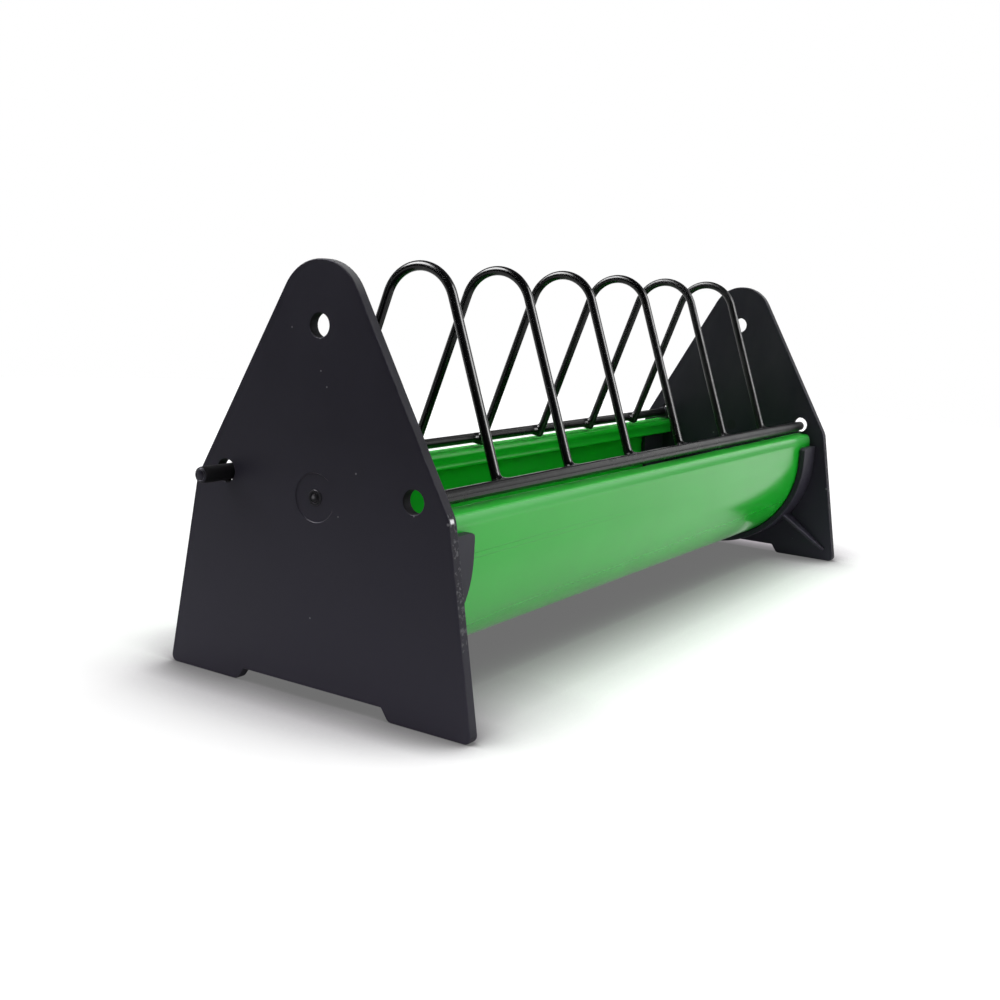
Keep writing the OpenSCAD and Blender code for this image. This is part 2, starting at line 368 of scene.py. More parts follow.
def greenPlastic(settings):
    s = Shader("greenExtrudedPlastic")
    x, y, z = (s.axis(s.place, name) for name in "XYZ")
    lines, waves, cloud, scuffs = (s.pattern(*settings[key]) for key in ("lines", "waves", "cloud", "scuffs"))
    twin = 0.0
    for level in settings["twinLines"]:
        gap = s.math("ABSOLUTE", s.math("SUBTRACT", z, level))
        twin = s.math("ADD", twin, s.ramp(gap, 0.0, settings["twinWidth"], 1.0, 0.0))
    twin = s.math("MULTIPLY", twin, s.ramp(x, *settings["twinFrom"], 1.0, 0.0))
    # a painted highlight along the front's outside, under the rim, where the wall bends in
    low, full, high = settings["bend"]
    bend = s.math("MULTIPLY", s.ramp(z, low, full), s.ramp(z, full, high, 1.0, settings["rimHighlightLeft"]))
    bend = s.math("MULTIPLY", bend, s.ramp(y, *settings["rimHighlightFrom"]))
    color = s.mix(s.ramp(cloud, *settings["cloudFrom"]), settings["deep"], settings["light"])
    drawn = s.ramp(lines, *settings["linesFrom"], 0.0, settings["linesShow"])
    color = s.mix(drawn, color, settings["linesColor"])
    color = s.mix(s.math("MULTIPLY", twin, settings["twinShow"]), color, settings["twinColor"])
    color = s.mix(s.math("MULTIPLY", bend, settings["rimHighlightShow"]), color, settings["rimHighlightColor"])
    plain = settings["roughness"]
    rough = s.math("ADD", s.ramp(scuffs, *settings["scuffsFrom"], 0.0, settings["scuffsDull"]),
                   s.ramp(lines, *settings["linesDullFrom"], plain, plain + settings["linesDull"]))
    rough = s.math("ADD", rough, s.ramp(z, *settings["crest"], 0.0, settings["crestDull"]))
    height = s.math("ADD", s.math("MULTIPLY", lines, settings["linesDeep"]), waves)
    normal = s.bump(height, settings["wavesDeep"])
    normal = s.bump(twin, -settings["twinDeep"], under=normal)
    return s.finish(Base_Color=color, Roughness=rough, Normal=normal, Specular_IOR_Level=settings["specular"])


def blackPlastic(settings, name="blackMouldedPlastic"):
    s = Shader(name)
    x, height = s.axis(s.place, "X"), s.axis(s.place, "Z")
    depth = s.math("ABSOLUTE", x)
    flat = s.stretched((0, 1, 1))
    side = s.math("ABSOLUTE", s.axis(s.add("ShaderNodeNewGeometry").outputs["Normal"], "X"))
    cloud, grain, flow = (s.pattern(*settings[key]) for key in ("cloud", "grain", "flow"))

    # where the holes' painted shade, narrow faces, worn and lit edges, flecks, gate, painted glint and dust
    # with painted light are
    bore = 0.0
    for y, z in settings["holes"]:
        bore = s.math("ADD", bore, s.math("LESS_THAN", s.distance(flat, (0, y, z)), settings["holeWall"]))
    rim = s.math("MULTIPLY", s.ramp(side, *settings["rimSlope"]), s.ramp(flow, *settings["rimPatches"]))
    rim = s.math("MULTIPLY", rim, s.between(depth, *settings["rimFrom"]))
    rim = s.math("MULTIPLY", rim, s.math("SUBTRACT", 1.0, bore))
    # a painted highlight on the top of the narrow faces
    crownHighlight = s.math("MULTIPLY", rim, s.ramp(height, *settings["crownHighlightFrom"]))
    # only the hole walls get the painted shade
    bore = s.math("MULTIPLY", bore, s.ramp(side, *settings["holeSlope"]))
    # worn edges, with a painted highlight along them
    wornAndLitEdge = s.math("MULTIPLY", s.ramp(side, *settings["edgeFrom"]),
                  s.ramp(side, *settings["edgeTo"], 1.0, 0.0))
    wornAndLitEdge = s.math("MULTIPLY", wornAndLitEdge, s.ramp(s.pattern(*settings["wearAndSheen"]), *settings["wearAndSheenFrom"]))
    # flecks of dust and nicks, painted lighter as glints
    spot, number = s.spots(settings["flecks"])
    picked = s.math("GREATER_THAN", s.axis(number, "X"), settings["fleckless"])
    fleck = s.math("MULTIPLY", s.ramp(spot, *settings["fleckFrom"], 1.0, 0.0), picked)
    specks = s.math("MULTIPLY", s.between(height, *settings["rimSpecks"]), rim)
    specks = s.math("MULTIPLY", specks, s.ramp(s.pattern(*settings["specks"]), *settings["specksFrom"]))
    fleck = s.math("MAXIMUM", fleck, s.math("MULTIPLY", specks, settings["specksShow"]))
    outer = s.math("LESS_THAN", x, settings["nickX"])
    for y, z, radius in settings["nicksAndGlints"]:
        away = s.distance(flat, (0, y * mm, z * mm))
        pointMark = s.ramp(away, radius * settings["nickCore"], radius * mm, 1.0, 0.0)
        fleck = s.math("MAXIMUM", fleck, s.math("MULTIPLY", pointMark, outer))
    gate = s.distance(flat, (0, 0, settings["gateZ"]))
    gate = s.ramp(gate, *settings["gateFrom"], settings["gateShow"], 0.0)
    # a painted glint at the knee
    glint = s.ramp(s.distance(flat, (0, *settings["glint"])), *settings["glintSize"], 1.0, 0.0)
    glint = s.math("MULTIPLY", s.between(x, *settings["glintFrom"]), glint)
    # dust with painted light on the inner faces, left out low down as painted shade under the trough
    dustAndLightMask = s.math("MULTIPLY", s.ramp(depth, *settings["dustAndLightInside"]), s.ramp(height, *settings["dustAndLightFrom"]))
    dustAndLightMask = s.math("MULTIPLY", dustAndLightMask, s.ramp(flow, *settings["dustAndLightPatches"]))

    # their colours, each laid over the ones before it; painted floor light, highlights, glints and shade
    # among them
    color = s.mix(s.ramp(cloud, *settings["cloudFrom"]), settings["deep"], settings["light"])
    layers = [(s.ramp(height, *settings["footFrom"], 0.0, settings["footShow"]), "foot"), (rim, "rim"),
              (crownHighlight, "crownHighlight"), (gate, "hollow"), (s.math("MULTIPLY", wornAndLitEdge, settings["edgeShow"]), "edge"),
              (s.math("MULTIPLY", fleck, settings["fleckShow"]), "fleck"), (bore, "hollow"),
              (glint, "glintColor"), (dustAndLightMask, "dustAndPaintedLight")]
    for factor, tone in layers:
        color = s.mix(factor, color, settings[tone])
    smooth, dull = (settings["roughness"] + change for change in settings["flowDull"])
    rough = s.math("ADD", s.ramp(flow, *settings["flowFrom"], smooth, dull),
                   s.math("MULTIPLY", grain, settings["grainDull"]))
    rough = s.math("ADD", rough, s.math("MULTIPLY", s.math("ADD", rim, bore), settings["sawn"]))
    skin = s.math("ADD", grain, s.math("MULTIPLY", flow, settings["flowDeep"]))
    normal = s.bump(skin, settings["skinDeep"])
    normal = s.bump(fleck, settings["fleckDeep"], under=normal)
    return s.finish(Base_Color=color, Roughness=rough, Normal=normal, Specular_IOR_Level=settings["specular"],
                    Specular_Tint=settings["tint"])


def coatedWire(settings):
    s = Shader("blackCoatedWire")
    cloud, rub, peel = (s.pattern(*settings[key]) for key in ("cloud", "rub", "peel"))
    color = s.mix(s.ramp(cloud, *settings["cloudFrom"]), settings["deep"], settings["light"])
    smooth, dull = (settings["roughness"] + change for change in settings["cloudDull"])
    rough = s.math("ADD", s.ramp(cloud, *settings["cloudDullFrom"], smooth, dull),
                   s.ramp(rub, *settings["rubFrom"], 0.0, settings["rubDull"]))
    far = s.ramp(s.axis(s.place, "X"), *settings["farFrom"], 0.0, settings["farDull"])
    rough = s.math("ADD", rough, far)
    normal = s.bump(peel, settings["peelDeep"])
    return s.finish(Base_Color=color, Roughness=rough, Normal=normal, Specular_IOR_Level=settings["specular"])


greenMat = greenPlastic(greenFinish)
plateMat = blackPlastic(plateFinish)
wireMat = coatedWire(wireFinish)
sleeveMat = blackPlastic(dict(plateFinish, roughness=0.3), "blackSleevePlastic")
print("materials made")


# trough: the section of the extrusion, carried along X

trough = {
    "wall": 1.8 * mm,
    "lipReach": 7.8 * mm,
    "lipDrop": 6.6 * mm,
    "lipEdge": 1.5 * mm,
    "rollR": 2.2 * mm,       # where the rim rolls in
    "shoulderR": 10.0 * mm,  # where the wall leans in below it
    "shoulderTurn": 20.0,    # by how many degrees
    "outerR": 1.5 * mm,
    "inRound": 1.0 * mm,
    "frontFall": 5.0,        # how far the top falls outwards, in degrees; the front has sagged
    "backFall": 1.0,
    "lipBulge": 0.35 * mm,
    "arcSteps": 90,
    "wallSteps": 4,
    "turnSteps": 12,
    "rollSteps": 14,
    "lipSteps": 8,
    "edgeSteps": 10,
    "inSteps": 6,
    "stations": 40,
}


def halfSection(t, fall):
    # from the bottom up the outside, over the rim and back down the inside
    r, inner = troughR, troughR - t["wall"]
    lipIn = r - t["lipReach"]
    edgeR = t["lipEdge"] / 2
    lowZ = rimZ - t["lipDrop"] + edgeR
    outR, rollR = t["outerR"], t["rollR"]
    inRound = t["inRound"]
    under = rimZ - rollR
    roof = rimZ - t["wall"] - inRound - t["lipReach"] * math.tan(math.radians(fall)) * 0.5
    top = 90 - fall
    cosTop, sinTop = math.cos(math.radians(top)), math.sin(math.radians(top))
    bigR, turn = t["shoulderR"], t["shoulderTurn"]
    outY = r - bigR + (bigR - outR) * math.cos(math.radians(turn))
    outMid = under + (rollR - outR + cosTop * (lipIn + rollR - outY)) / sinTop
    shoulder = outMid - (bigR - outR) * math.sin(math.radians(turn))
    half = arcPoints(0, midZ, r, -90, 0, t["arcSteps"])
    steps = t["wallSteps"]
    half += [(r, midZ + (shoulder - midZ) * i / steps) for i in range(1, steps)]
    half += arcPoints(r - bigR, shoulder, bigR, 0, turn, t["turnSteps"])
    half += arcPoints(outY, outMid, outR, turn, top, t["turnSteps"])[1:]
    half += arcPoints(lipIn + rollR, under, rollR, top, 180, t["rollSteps"])
    # the hanging face is a little hollow, so that its foot stands proud
    for i in range(1, t["lipSteps"]):
        f = i / t["lipSteps"]
        half.append((lipIn + t["lipBulge"] * math.sin(math.pi * f), under + (lowZ - under) * f))
    half += arcPoints(lipIn + edgeR, lowZ, edgeR, 180, 360, t["edgeSteps"])
    half += arcPoints(lipIn + t["lipEdge"] + inRound, roof, inRound, 180, 90, t["inSteps"])
    half += arcPoints(inner - inRound, roof, inRound, 90, 0, t["inSteps"])
    half += [(inner, midZ + (roof - midZ) * i / steps) for i in range(steps - 1, 0, -1)]
    return half + arcPoints(0, midZ, inner, 0, -90, t["arcSteps"])


def troughSection(t):
    back, front = halfSection(t, t["backFall"]), halfSection(t, t["frontFall"])
    return back + [(-y, z) for y, z in reversed(front[1:-1])]


def makeTrough(t):
    section = troughSection(t)
    rings = []
    for i in range(t["stations"] + 1):
        x = -halfLen + 2 * halfLen * i / t["stations"]
        rings.append([(x, y, z) for y, z in section])
    mesh = loft(rings)
    smoothMesh(mesh)
    return addObject("trough_extrusion", mesh, greenMat)


hand(makeTrough(trough), "base", "trough_green", "trough")
print("trough made")


# end plates: one moulding, used twice

plate = {
    "height": plateHigh.z,
    "thick": 3.4 * mm,
    "apexR": 14.1 * mm,
    "knee": (44.4 * mm, 57.4 * mm, 8 * mm),
    "footHalf": 54.5 * mm,
    "footR": 2 * mm,
    "cutLow": 27.5 * mm,
    "cutHigh": 25 * mm,
    "cutTall": 3.6 * mm,
    "cutR": 0.4 * mm,
    "holeR": 3.25 * mm,
    "hangZ": 103.6 * mm,
    "sideHoleZ": 60.6 * mm,
    "edge": 0.35 * mm,
    "gateZ": 57.2 * mm,
    "gateDeep": 0.3 * mm,
    # the gate's round mark: millimetres from the outer face, and radius; the stub starts at the mark's floor
    "gateCut": [(-1, 0), (-1, 6.9), (0, 6.9), (0.15, 6.8), (0.3, 6.68), (0.3, 0)],
    "stub": [(0.2, 0), (0.2, 2.2), (-0.15, 2.2), (-0.28, 2.08), (-0.28, 1.55), (0.02, 1.35), (0.02, 1.15),
             (-0.5, 0.95), (-0.6, 0.7), (-0.54, 0)],
    "holeSteps": 72,
    "stubSteps": 40,
    "bevelSteps": 3,
    "flatWeight": 90,        # keeps the broad faces flat next to the rounded edges
}

socket = {
    "flangeLong": 14 * mm,
    "flangeWall": 2.5 * mm,
    "flangeTop": rimZ - 5.2 * mm,
    "collarLong": 19.5 * mm,
    "collarWall": 2 * mm,
    "collarTop": rimZ - 7.3 * mm,
    "gap": 0.3 * mm,
    "corner": 1.5 * mm,
    "lipR": 0.4 * mm,
    "sink": 0.3 * mm,
    "gussetThick": 1.5 * mm,
    "gussetHigh": 9 * mm,
    "gussetLow": 1.5 * mm,
    "gussetInset": 4.8 * mm,
    "gussetSteps": 8,
    "upSteps": 12,
    "turnSteps": 60,
}

innerX = -halfLen
outerX = innerX - plate["thick"]


def apexCorner(p):
    # where the two slopes would meet, if the top weren't rounded
    middle = Vector((0, p["height"] - p["apexR"]))
    toKnee = Vector(p["knee"][:2]) - middle
    angle = math.atan2(toKnee.y, toKnee.x) + math.acos(p["apexR"] / toKnee.length)
    return (0, middle.y + p["apexR"] / math.sin(angle), p["apexR"])


def plateLoops(p):
    ky, kz, kr = p["knee"]
    corners = [(p["footHalf"], 0, p["footR"]), (ky, kz, kr), apexCorner(p), (-ky, kz, kr),
               (-p["footHalf"], 0, p["footR"]), (-p["cutLow"], 0, p["footR"]),
               (-p["cutHigh"], p["cutTall"], p["cutR"]), (p["cutHigh"], p["cutTall"], p["cutR"]),
               (p["cutLow"], 0, p["footR"])]
    holes = [(0, p["hangZ"]), (-railY, p["sideHoleZ"]), (railY, p["sideHoleZ"])]
    circles = [arcPoints(y, z, p["holeR"], 360, 0, p["holeSteps"])[:-1] for y, z in holes]
    return [roundedPath(corners)] + circles


def sheetWithHoles(loops, xFrom, xTo, edge, steps):
    # an outline with holes, given a thickness along X and rounded edges
    curve = bpy.data.curves.new("outline", "CURVE")
    curve.dimensions = "2D"
    curve.fill_mode = "BOTH"
    curve.extrude = (xTo - xFrom) / 2 - edge
    curve.bevel_depth = edge
    curve.bevel_resolution = steps
    curve.offset = -edge
    for loop in loops:
        spline = curve.splines.new("POLY")
        spline.points.add(len(loop) - 1)
        for point, (u, v) in zip(spline.points, loop):
            point.co = (u, v, 0, 1)
        spline.use_cyclic_u = True
    holder = bpy.data.objects.new("outline", curve)
    scene.collection.objects.link(holder)
    shown = holder.evaluated_get(bpy.context.evaluated_depsgraph_get())
    mesh = bpy.data.meshes.new_from_object(shown)
    bpy.data.objects.remove(holder)
    bpy.data.curves.remove(curve)
    mesh.transform(Matrix(((0, 0, 1, (xFrom + xTo) / 2), (1, 0, 0, 0), (0, 1, 0, 0), (0, 0, 0, 1))))
    bm = bmesh.new()
    bm.from_mesh(mesh)
    tidyMesh(bm)
    bm.to_mesh(mesh)
    bm.free()
    return mesh


def lathe(profile, y, z, steps=64):
    # turns (x, radius) points about a line along X
    rings = []
    for k in range(steps):
        a = 2 * math.pi * k / steps
        rings.append([(x, y + r * math.cos(a), z + r * math.sin(a)) for x, r in profile])
    return loft(rings, closed=True)


def socketWall(length, radius, wall, topZ, s):
    # a U-shaped wall that stands on the plate; its free edge and upper corners are rounded
    straight = topZ - midZ
    heights = [straight - straight * i / s["upSteps"] for i in range(s["upSteps"])]
    turns = [math.pi * (i / s["turnSteps"] - 0.5) for i in range(s["turnSteps"] + 1)]
    stations = [(Vector((0, -1, 0)), up) for up in heights]
    stations += [(Vector((0, math.sin(a), -math.cos(a))), 0.0) for a in turns]
    stations += [(Vector((0, 1, 0)), up) for up in reversed(heights)]
    corner, lipR = s["corner"], s["lipR"]
    rings = []
    for out, up in stations:
        past = max(0.0, corner - (straight - up))
        reach = length - corner + math.sqrt(max(0.0, corner ** 2 - past ** 2)) - lipR
        outline = [(-s["sink"], radius)] + arcPoints(reach, radius - lipR, lipR, 90, 0, 4)
        outline += arcPoints(reach, radius - wall + lipR, lipR, 0, -90, 4)
        outline.append((-s["sink"], radius - wall))
        base = Vector((innerX, 0, midZ + up))
        rings.append([base + Vector((x, 0, 0)) + out * r for x, r in outline])
    return loft(rings)


def gussetMesh(side, s):
    # a web between the flange and a foot, lower towards the foot
    out = Vector((side * (plate["footHalf"] - s["gussetInset"]), s["gussetInset"] - midZ))
    along = out.normalized()
    start = troughR + s["gap"] + s["flangeWall"] / 2
    thick = s["gussetThick"] / 2
    across = Vector((-along.y, along.x))
    rings = []
    for i in range(s["gussetSteps"] + 1):
        t = i / s["gussetSteps"]
        at = along * (start + (out.length - start) * t)
        high = s["gussetHigh"] + (s["gussetLow"] - s["gussetHigh"]) * t
        outline = [(-s["sink"], -thick)] + arcPoints(high - thick, 0, thick, -90, 90, 6)
        outline.append((-s["sink"], thick))
        rings.append([(innerX + x, at.x + across.x * w, midZ + at.y + across.y * w) for x, w in outline])
    return loft(rings)


def makePlateMesh(p, s):
    body = sheetWithHoles(plateLoops(p), outerX, innerX, p["edge"], p["bevelSteps"])
    # the shallow round mark of the gate is cut out of the outer face
    cutter = lathe([(outerX + x * mm, r * mm) for x, r in p["gateCut"]], 0, p["gateZ"])
    holder = addObject("plateBlank", body, plateMat)
    tool = addObject("gateCutter", cutter, plateMat)
    cut = holder.modifiers.new("gate", "BOOLEAN")
    cut.operation = "DIFFERENCE"
    cut.solver = "EXACT"
    cut.object = tool
    finalMesh(holder)
    body = holder.data
    bpy.data.objects.remove(tool)
    bpy.data.objects.remove(holder)
    stub = [(outerX + p["gateDeep"] + x * mm, r * mm) for x, r in p["stub"]]
    outside, inside = troughR + s["gap"] + s["flangeWall"], troughR - trough["wall"] - s["gap"]
    return joinMeshes([
        body,
        lathe(stub, 0, p["gateZ"], p["stubSteps"]),
        socketWall(s["flangeLong"], outside, s["flangeWall"], s["flangeTop"], s),
        socketWall(s["collarLong"], inside, s["collarWall"], s["collarTop"], s),
        gussetMesh(-1, s),
        gussetMesh(1, s),
    ])


def weighted(piece):
    mod = piece.modifiers.new("flatFaces", "WEIGHTED_NORMAL")
    mod.keep_sharp = True
    mod.weight = plate["flatWeight"]
    return finalMesh(piece)


def makePlates():
    mesh = makePlateMesh(plate, socket)
    smoothMesh(mesh)
    turned = mesh.copy()
    turned.transform(Matrix.Rotation(math.pi, 4, "Z"))
    near = weighted(addObject("near_plate_moulding", mesh, plateMat))
    far = weighted(addObject("far_plate_moulding", turned, plateMat))
    hand(near, "base", "plate_black", "near_end_plate")
    hand(far, "base", "plate_black", "far_end_plate")


makePlates()
print("end plates made")


# rack: hoops bent from wire by a node tree, then rails, then the coating that fills their corners

hoops = {
    "count": 6,
    "archR": 12.4 * mm,
    "sunk": 0.7 * mm,        # how deep a leg sits in the coating of its rail
    "tail": 0.3 * mm,
    "fillet": 2.6 * mm,      # how far round a joint the coating swells
    "filletMost": 0.32,      # and at most by this share of it
    "filletRounds": 8,
    "filletStep": 0.8,
    "tipR": 1.1 * mm,        # the front rail's thin end
    "tipLong": 32 * mm,
    "railStep": 0.6 * mm,
    "railSides": 28,
    "railBevel": 0.4 * mm,
    "rings": 240,
    "sides": 24,
    "crowding": 0.8,         # how much closer the rings stand near the feet
    "tipLeast": 0.0004,      # keeps the ends' last ring above zero
}
pitch = (lastHoopLow.x - firstHoopLow.x) / (hoops["count"] - 1)
firstX = (firstHoopLow.x + firstHoopHigh.x) / 2
archZ = firstHoopHigh.z - wireR - hoops["archR"]
legOff = railR + wireR - hoops["sunk"]
reach = math.hypot(railY, archZ - railZ)
lean = math.atan2(railY, archZ - railZ) - math.asin((hoops["archR"] + legOff) / reach)
legLen = math.sqrt(reach ** 2 - (hoops["archR"] + legOff) ** 2) + hoops["tail"] + wireR
hoopXs = [firstX + pitch * i for i in range(hoops["count"])]


class Tree(Nodes):
    # for geometry, with an input per size

    def __init__(self, name, sizes):
        super().__init__(bpy.data.node_groups.new(name, "GeometryNodeTree"))
        self.tree.is_modifier = True
        self.tree.interface.new_socket(name="Geometry", in_out="OUTPUT", socket_type="NodeSocketGeometry")
        self.inputs = {}
        for key, value in sizes.items():
            self.input(key, "NodeSocketInt" if isinstance(value, int) else "NodeSocketFloat", value)
        self.input("Material", "NodeSocketMaterial")
        self.entry = self.tree.nodes.new("NodeGroupInput")

    def input(self, name, kind, value=None):
        socket = self.tree.interface.new_socket(name=name, in_out="INPUT", socket_type=kind)
        if value is not None:
            socket.default_value = value
        self.inputs[name] = (socket.identifier, value)

    def get(self, name):
        return self.entry.outputs[name]

    def finish(self, geometry):
        out = self.tree.nodes.new("NodeGroupOutput")
        self.tree.links.new(geometry, out.inputs["Geometry"])


def bendHoopsTree():
    t = Tree("bendHoops", {
        "Hoops": hoops["count"],
        "Pitch": pitch,
        "First X": firstX,
        "Arch radius": hoops["archR"],
        "Arch height": archZ,
        "Lean": lean,
        "Leg length": legLen,
        "Wire radius": wireR,
        "Rings": hoops["rings"],
        "Sides": hoops["sides"],
    })
    # the wire's length is measured from the middle of the arch, with more rings near the feet
    line = t.add("GeometryNodeCurvePrimitiveLine")
    wire = t.named("GeometryNodeResampleCurve", Curve=line.outputs["Curve"], Count=t.get("Rings"))
    f = t.add("GeometryNodeSplineParameter").outputs["Factor"]
    swing = t.math("DIVIDE", t.math("SINE", t.math("MULTIPLY", f, 2 * math.pi)), 2 * math.pi)
    eased = t.math("SUBTRACT", f, t.math("MULTIPLY", swing, hoops["crowding"]))
    bend = t.math("SUBTRACT", math.pi / 2, t.get("Lean"))
    archHalf = t.math("MULTIPLY", t.get("Arch radius"), bend)
    half = t.math("ADD", archHalf, t.get("Leg length"))
    run = t.math("MULTIPLY", t.math("SUBTRACT", t.math("MULTIPLY", eased, 2.0), 1.0), half)
    away = t.math("ABSOLUTE", run)
    angle = t.math("DIVIDE", t.math("MINIMUM", away, archHalf), t.get("Arch radius"))
    leg = t.math("MAXIMUM", t.math("SUBTRACT", away, archHalf), 0.0)
    sine = t.math("SINE", angle)
    cosine = t.math("COSINE", angle)
    y = t.math("ADD", t.math("MULTIPLY", t.get("Arch radius"), sine), t.math("MULTIPLY", leg, cosine))
    y = t.math("MULTIPLY", y, t.math("SIGN", run))
    z = t.math("SUBTRACT", t.math("MULTIPLY", t.get("Arch radius"), cosine), t.math("MULTIPLY", leg, sine))
    z = t.math("ADD", z, t.get("Arch height"))
    place = t.named("ShaderNodeCombineXYZ", Y=y, Z=z)
    bent = t.named("GeometryNodeSetPosition", Geometry=wire.outputs["Curve"],
                   Position=place.outputs["Vector"])
    # the ends are domed, so the wire's radius falls off over its last radius
    left = t.math("DIVIDE", t.math("SUBTRACT", half, away), t.get("Wire radius"), clamp=True)
    missing = t.math("SUBTRACT", 1.0, left)
    dome = t.math("SQRT", t.math("SUBTRACT", 1 + hoops["tipLeast"], t.math("MULTIPLY", missing, missing)))
    ring = t.named("GeometryNodeCurvePrimitiveCircle", Resolution=t.get("Sides"), Radius=t.get("Wire radius"))
    rod = t.named("GeometryNodeCurveToMesh", Curve=bent.outputs["Geometry"],
                  Profile_Curve=ring.outputs["Curve"], Scale=dome, Fill_Caps=True)
    start = t.named("ShaderNodeCombineXYZ", X=t.get("First X"))
    step = t.named("ShaderNodeCombineXYZ", X=t.get("Pitch"))
    spots = t.named("GeometryNodeMeshLine", Count=t.get("Hoops"), Start_Location=start.outputs["Vector"],
                    Offset=step.outputs["Vector"])
    copies = t.named("GeometryNodeInstanceOnPoints", Points=spots.outputs["Mesh"],
                     Instance=rod.outputs["Mesh"])
    real = t.named("GeometryNodeRealizeInstances", Geometry=copies.outputs["Instances"])
    done = t.named("GeometryNodeSetMaterial", Geometry=real.outputs["Geometry"], Material=t.get("Material"))
    t.finish(done.outputs["Geometry"])
    return t


def grown(name, grower, material):
    # runs a node tree on an empty mesh and keeps the result as a plain one
    piece = addObject(name, bpy.data.meshes.new(name), material)
    mod = piece.modifiers.new("grow", "NODES")
    mod.node_group = grower.tree
    for key, (identifier, value) in grower.inputs.items():
        mod[identifier] = material if key == "Material" else value
    return finalMesh(piece)


def legSegments():
    # each leg as (x, upper end, lower end), down to the middle of its domed tip
    segments = []
    top = (hoops["archR"] * math.cos(lean), archZ + hoops["archR"] * math.sin(lean))
    run = legLen - wireR
    low = (top[0] + run * math.sin(lean), top[1] - run * math.cos(lean))
    for x in hoopXs:
        for side in (-1, 1):
            segments.append((x, (side * top[0], top[1]), (side * low[0], low[1])))
    return segments


def distanceToLegs(points):
    best = np.full(len(points), np.inf)
    for x, (ay, az), (by, bz) in legSegments():
        a = np.array((x, ay, az))
        d = np.array((x, by, bz)) - a
        t = np.clip(((points - a) @ d) / (d @ d), 0, 1)
        best = np.minimum(best, np.linalg.norm(points - a - t[:, None] * d, axis=1))
    return best - wireR


def distanceToRails(points):
    back = np.hypot(points[:, 1] - railY, points[:, 2] - railZ) - railR
    front = np.hypot(points[:, 1] - frontY, points[:, 2] - railZ) - frontR
    return np.minimum(back, front)


def fillCorners(piece, h):
    # swells legs and rails where they meet, as the dipped coating does, along each point's own normal
    mesh, fillet = piece.data, h["fillet"]
    count = len(mesh.vertices)
    points = np.empty(count * 3)
    mesh.vertices.foreach_get("co", points)
    points = points.reshape(-1, 3)
    normals = np.empty(count * 3, np.float32)
    mesh.vertices.foreach_get("normal", normals)
    normals = normals.reshape(-1, 3).astype(float)
    moved = np.zeros(count)
    for _ in range(h["filletRounds"]):
        here = points + normals * moved[:, None]
        legs, rails = distanceToLegs(here), distanceToRails(here)
        blend = np.maximum(fillet - np.abs(legs - rails), 0) / fillet
        surface = np.minimum(legs, rails) - blend ** 2 * fillet / 4
        moved = np.clip(moved - surface * h["filletStep"], 0, fillet * h["filletMost"])
    points += normals * moved[:, None]
    mesh.vertices.foreach_set("co", points.reshape(-1))
    mesh.update()


def railMesh(low, high, y, radius, endR, h):
    # a rod along X, which thins down to endR over its last stretch
    bevel = h["railBevel"]
    count = round((high.x - low.x) / h["railStep"])
    profile = [(low.x, 0.0), (low.x, radius - bevel), (low.x + bevel * 0.3, radius - bevel * 0.3)]
    for i in range(count + 1):
        x = low.x + bevel + (high.x - low.x - 2 * bevel) * i / count
        thin = max(0.0, 1 - (high.x - bevel - x) / (h["tipLong"] - bevel))
        profile.append((x, radius + (endR - radius) * thin))
    profile += [(high.x - bevel * 0.3, endR - bevel * 0.3), (high.x, endR - bevel), (high.x, 0.0)]
    return lathe(profile, y, railZ, h["railSides"])


def makeRack():
    wires = grown("wire_hoops", bendHoopsTree(), wireMat)
    bm = bmesh.new()
    bm.from_mesh(wires.data)
    tidyMesh(bm, 1e-7)
    bm.to_mesh(wires.data)
    bm.free()
    frontMesh = railMesh(frontRailLow, frontRailHigh, frontY, frontR, hoops["tipR"], hoops)
    front = addObject("front_rail_rod", frontMesh, wireMat)
    backMesh = railMesh(backRailLow, backRailHigh, railY, railR, railR, hoops)
    back = addObject("back_rail_rod", backMesh, wireMat)
    for piece in (wires, front, back):
        fillCorners(piece, hoops)
        smoothMesh(piece.data, 50)
    hand(wires, "rack", "wire_black", *[f"hoop_{i}" for i in range(1, hoops["count"] + 1)])
    hand(front, "rack", "wire_black", "front_rail")
    hand(back, "rack", "wire_black", "back_rail")


makeRack()
print("rack made")


# pivot sleeves: plastic tubes with a closed, bevelled end

sleeve = {
    "wall": 0.5 * mm,
    "play": 0.05 * mm,
    "cap": 2 * mm,
    "bevel": 0.7 * mm,
    "round": 0.25 * mm,
    "groove": 0.5 * mm,      # round the end's face
    "grooveDeep": 0.12 * mm,
}


def makeSleeve(name, node, outward):
    low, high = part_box(node)
    tip = low.x if outward < 0 else high.x
    long = high.x - low.x
    bore = railR + sleeve["play"]
    r = bore + sleeve["wall"]
    b, edge, groove = sleeve["bevel"], sleeve["round"], sleeve["groove"]
    # (distance from the tip, radius), over the end's face, along the outside and back through the bore
    profile = [(0, 0), (0, r - b - groove), (sleeve["grooveDeep"], r - b - groove / 2), (0, r - b),
               (b * 0.35, r - b * 0.3), (b, r - 0.03 * mm), (b + 0.3 * mm, r),
               (long - edge, r), (long, r - edge), (long, bore), (sleeve["cap"], bore), (sleeve["cap"], 0)]
    mesh = lathe([(tip - outward * x, radius) for x, radius in profile], railY, railZ)
    smoothMesh(mesh)
    piece = addObject(name, mesh, sleeveMat)
    hand(piece, "pivots", "sleeve_black", node)


makeSleeve("near_sleeve_tube", "near_pivot_sleeve", -1)
makeSleeve("far_sleeve_tube", "far_pivot_sleeve", 1)
print("sleeves made")


# floor, light and camera

